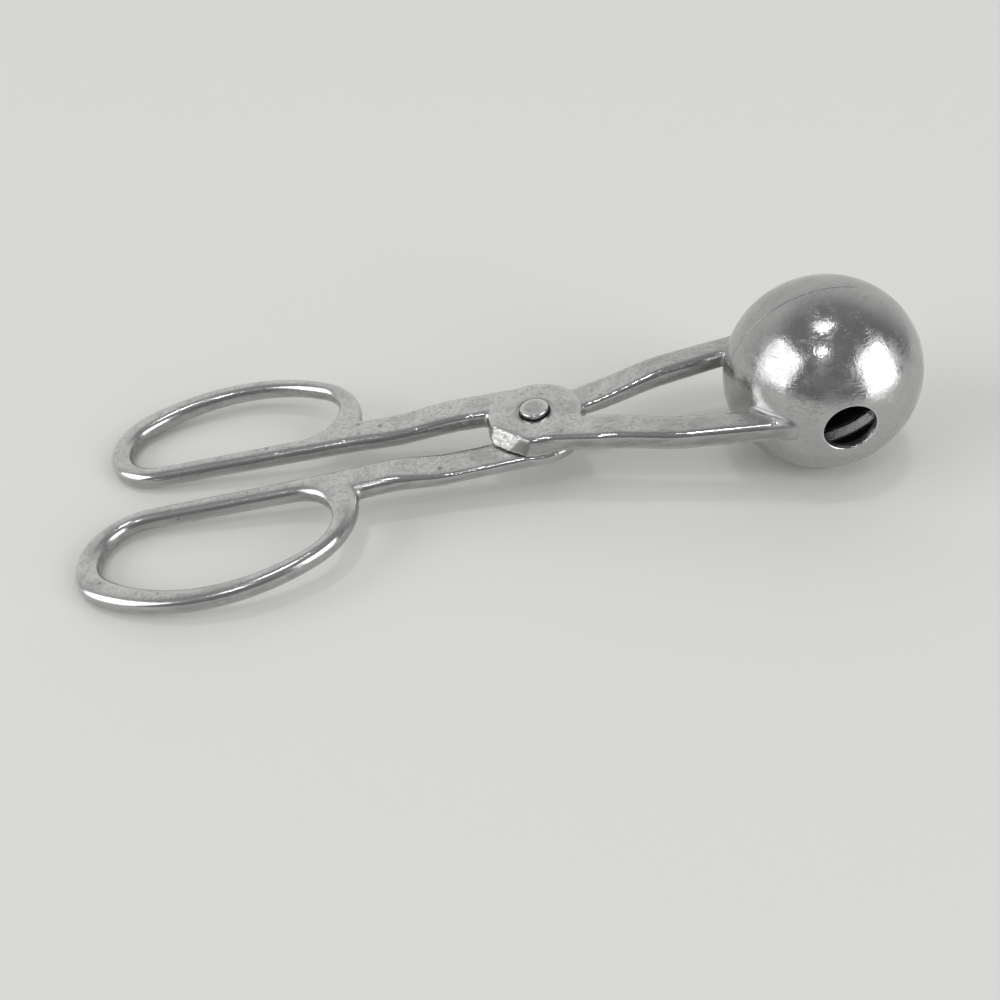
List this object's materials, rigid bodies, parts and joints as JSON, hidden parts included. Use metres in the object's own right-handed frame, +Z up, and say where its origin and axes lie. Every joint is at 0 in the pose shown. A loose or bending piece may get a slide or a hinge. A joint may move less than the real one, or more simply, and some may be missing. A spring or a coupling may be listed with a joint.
{
  "type": "scissor scoop",
  "caption": "Scissor-action ball scoop: crossed cast levers on a rivet, with finger loops at one end and hollow half-ball cups with vent holes at the other.",
  "frame": {"origin": "bottom centre of the bounding box of the closed tool as it lies on a table, on its ball and on the tips of its finger loops", "axes": "+X along the tool towards the ball, +Z up from the table, +Y to the left of the tool; the rivet's axis leans back from +Z by the angle at which the tool lies"},
  "size_m": [0.1944, 0.0788, 0.044],
  "materials": {
    "cast_aluminium": "cast, ground and tumbled, satin on the levers and polished on the ball",
    "rivet_aluminium": "flat headed, satin"
  },
  "bodies": {
    "rivet": {"pivot_rivet": "rivet_aluminium"},
    "upper_lever": {"upper_lever": "cast_aluminium"},
    "lower_lever": {"lower_lever": "cast_aluminium"}
  },
  "joints": [
    {"name": "upper_lever_pivot", "type": "hinge", "parent": "rivet", "child": "upper_lever", "pos_m": [0.00959, 0, 0.0144], "axis": [0.1151, 0, -0.9934], "range_deg": [0, 50]},
    {"name": "lower_lever_pivot", "type": "hinge", "parent": "rivet", "child": "lower_lever", "pos_m": [0.00959, 0, 0.0144], "axis": [-0.1151, 0, 0.9934], "range_deg": [0, 50]}
  ],
  "couplings": [
    {"joint": "lower_lever_pivot", "follows": "upper_lever_pivot", "ratio": 1}
  ]
}
